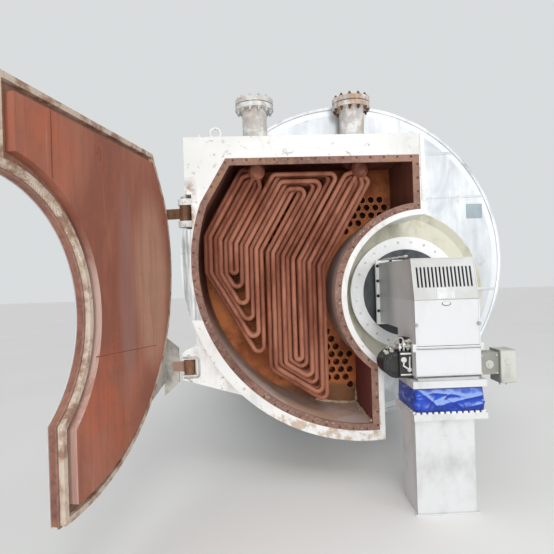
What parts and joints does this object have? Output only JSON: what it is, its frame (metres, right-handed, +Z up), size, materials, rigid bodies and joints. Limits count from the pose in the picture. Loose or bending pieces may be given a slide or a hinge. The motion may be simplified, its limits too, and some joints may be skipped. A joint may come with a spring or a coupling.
{
  "type": "industrial boiler",
  "caption": "Horizontal shell boiler with an open smoke box, bent superheater coil, swung-open door and a side-fed burner.",
  "frame": {"origin": "on the floor under the middle of the front saddle, below the shell axis", "axes": "+Z up, +Y from the front to the rear along the shell, +X to the right seen from the front"},
  "size_m": [3.5004, 8.5558, 3.2638],
  "materials": {
    "cladding": "bright rolled cladding sheet",
    "rusty_steel": "dull red-brown scale",
    "coil_steel": "matt terracotta oxide",
    "grey_steel": "dull grey",
    "dark_steel": "dark grey paint",
    "brown_steel": "worn brown",
    "white_paint": "satin white paint with wear",
    "cream_paint": "matt cream sealant",
    "burner_paint": "satin light grey paint",
    "bright_steel": "plain turned steel",
    "blue_fabric": "crumpled coated fabric",
    "black_plastic": "matt black",
    "pale_plastic": "matt pale grey",
    "rope": "worn cream sealing rope"
  },
  "bodies": {
    "boiler": {"shell_jacket": "cladding", "front_cover": "cladding", "tube_sheet": "rusty_steel", "rear_cover": "cladding", "rear_flue_box": "cladding", "flue_outlet": "grey_steel", "rear_access_door": "grey_steel", "front_saddle": "dark_steel", "rear_saddle": "dark_steel", "smoke_box_flange": "rusty_steel", "smoke_box_wall": "rusty_steel", "smoke_box_casing": "white_paint", "furnace_collar": "white_paint", "furnace_face": "cream_paint", "burner_ring": "white_paint", "header_left": "coil_steel", "header_right": "coil_steel", "coil_layer_1": "coil_steel", "coil_layer_2": "coil_steel", "coil_layer_3": "coil_steel", "coil_layer_4": "coil_steel", "coil_layer_5": "coil_steel", "coil_layer_6": "coil_steel", "lifting_eye": "white_paint", "upper_hinge_lugs": "white_paint", "lower_hinge_bracket": "white_paint", "upper_hinge_pin": "bright_steel", "lower_hinge_pin": "bright_steel", "burner_plate": "dark_steel", "burner_housing": "burner_paint", "burner_base": "burner_paint", "air_compensator": "blue_fabric", "air_duct": "burner_paint", "gas_valve": "black_plastic", "air_actuator": "pale_plastic"},
    "door": {"door_skin": "cladding", "door_body": "rusty_steel", "door_flange": "rusty_steel", "door_gasket": "rope", "door_plug": "rusty_steel", "door_upper_arm": "brown_steel", "door_lower_arm": "grey_steel"}
  },
  "joints": [
    {"name": "door_hinge", "type": "hinge", "parent": "boiler", "child": "door", "pos_m": [-1.425, -2.69, 1.8], "axis": [0, 0, -1], "range_deg": [-103, 20]}
  ]
}
